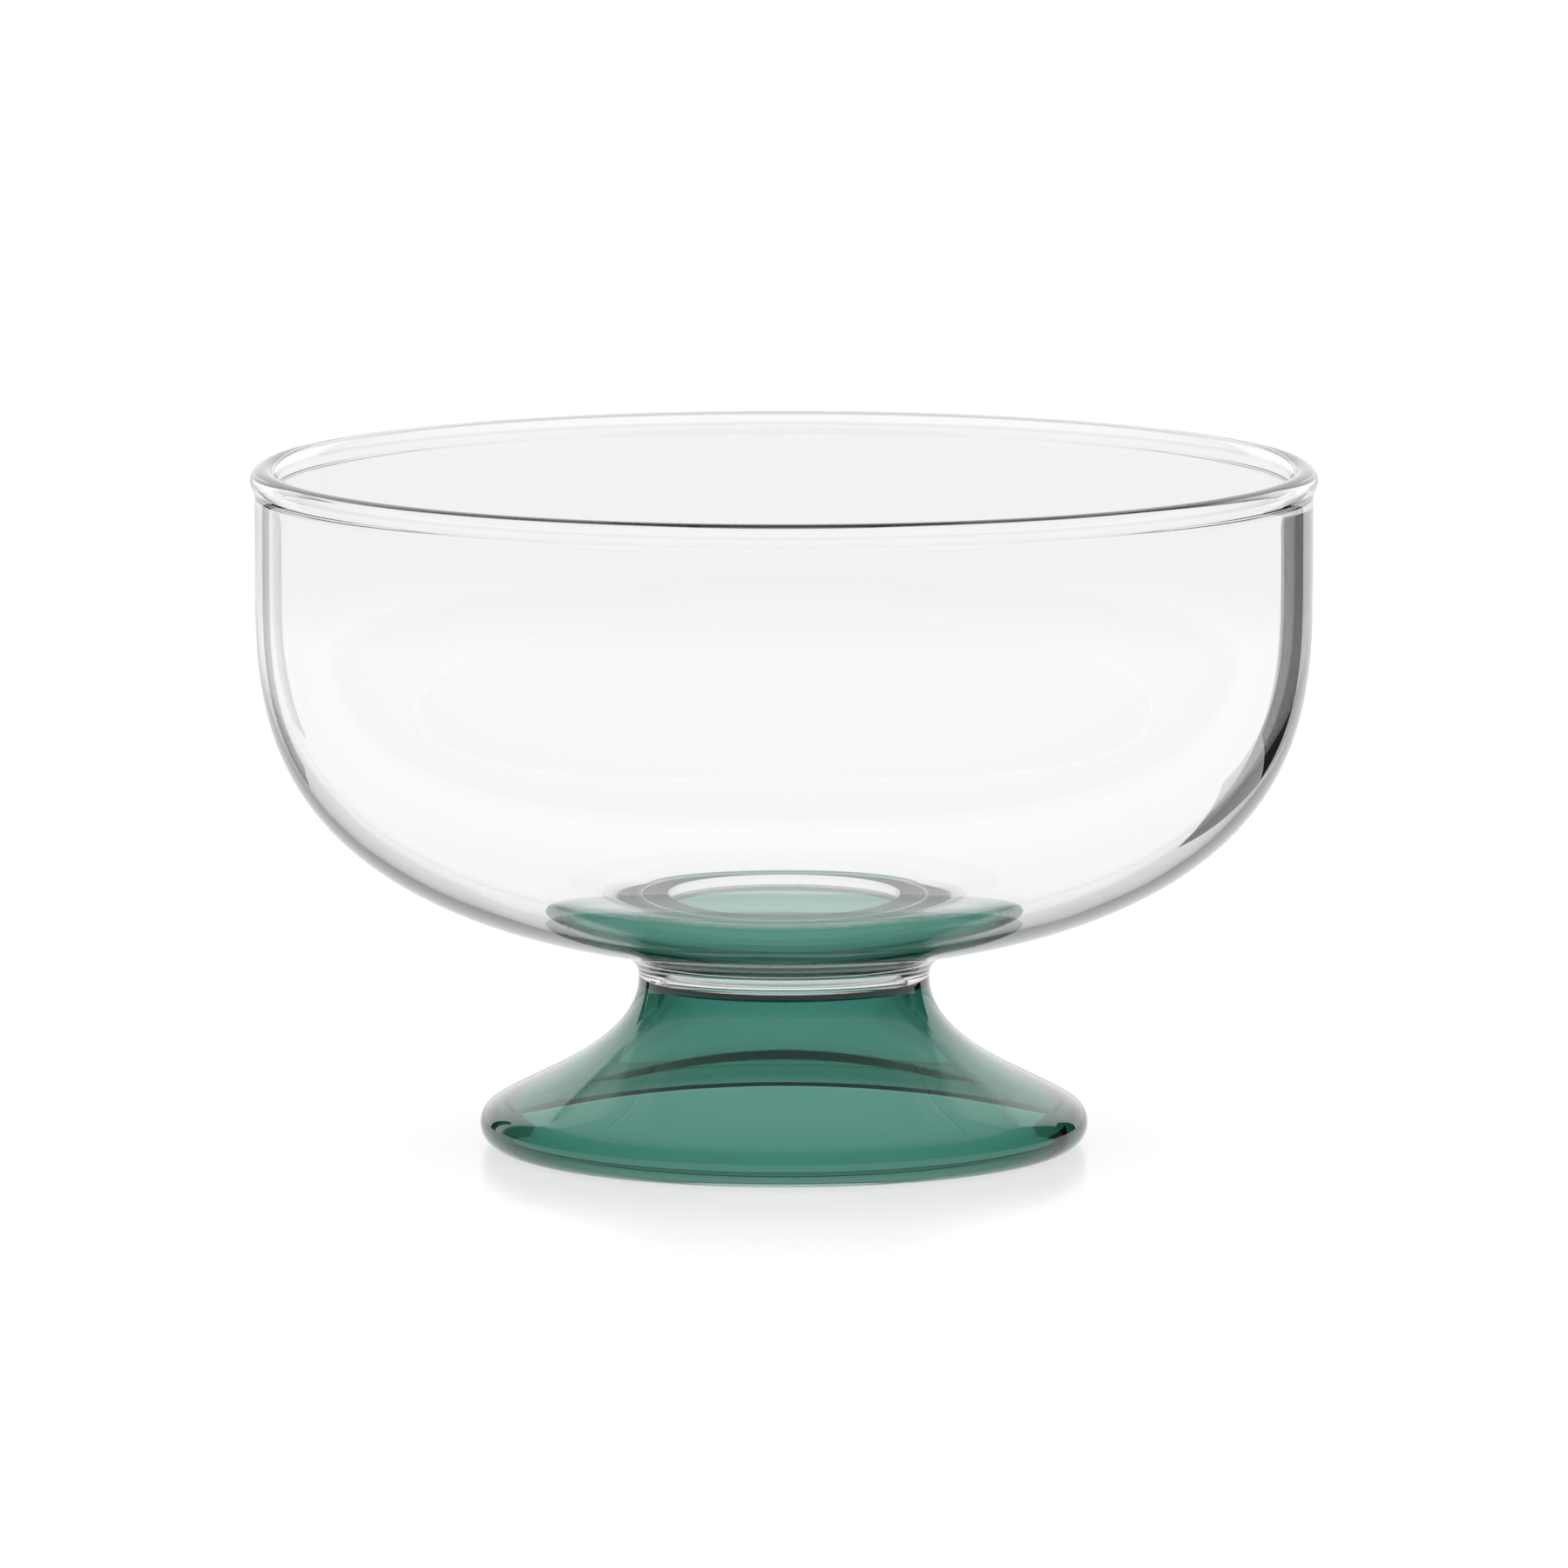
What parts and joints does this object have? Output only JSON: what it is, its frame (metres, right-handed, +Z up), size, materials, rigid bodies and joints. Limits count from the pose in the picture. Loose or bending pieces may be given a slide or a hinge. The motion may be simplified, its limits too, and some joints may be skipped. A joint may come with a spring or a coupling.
{
  "type": "dessert bowl",
  "caption": "Round clear glass dessert bowl with a beaded rim, fused through a clear neck ring to a hollow flared foot of green glass; holds ice cream, fruit or other desserts.",
  "frame": {"origin": "centre of the foot's ground ring, on the surface that the bowl stands on", "axes": "+Z up along the bowl's axis of revolution, towards the open rim; X and Y are free"},
  "size_m": [0.12, 0.12, 0.077],
  "materials": {
    "clear_glass": "clear, fire-polished",
    "green_glass": "clear green-blue all through, fire-polished"
  },
  "bodies": {
    "root": {"bowl": "clear_glass", "neck_ring": "clear_glass", "foot": "green_glass"}
  },
  "joints": []
}
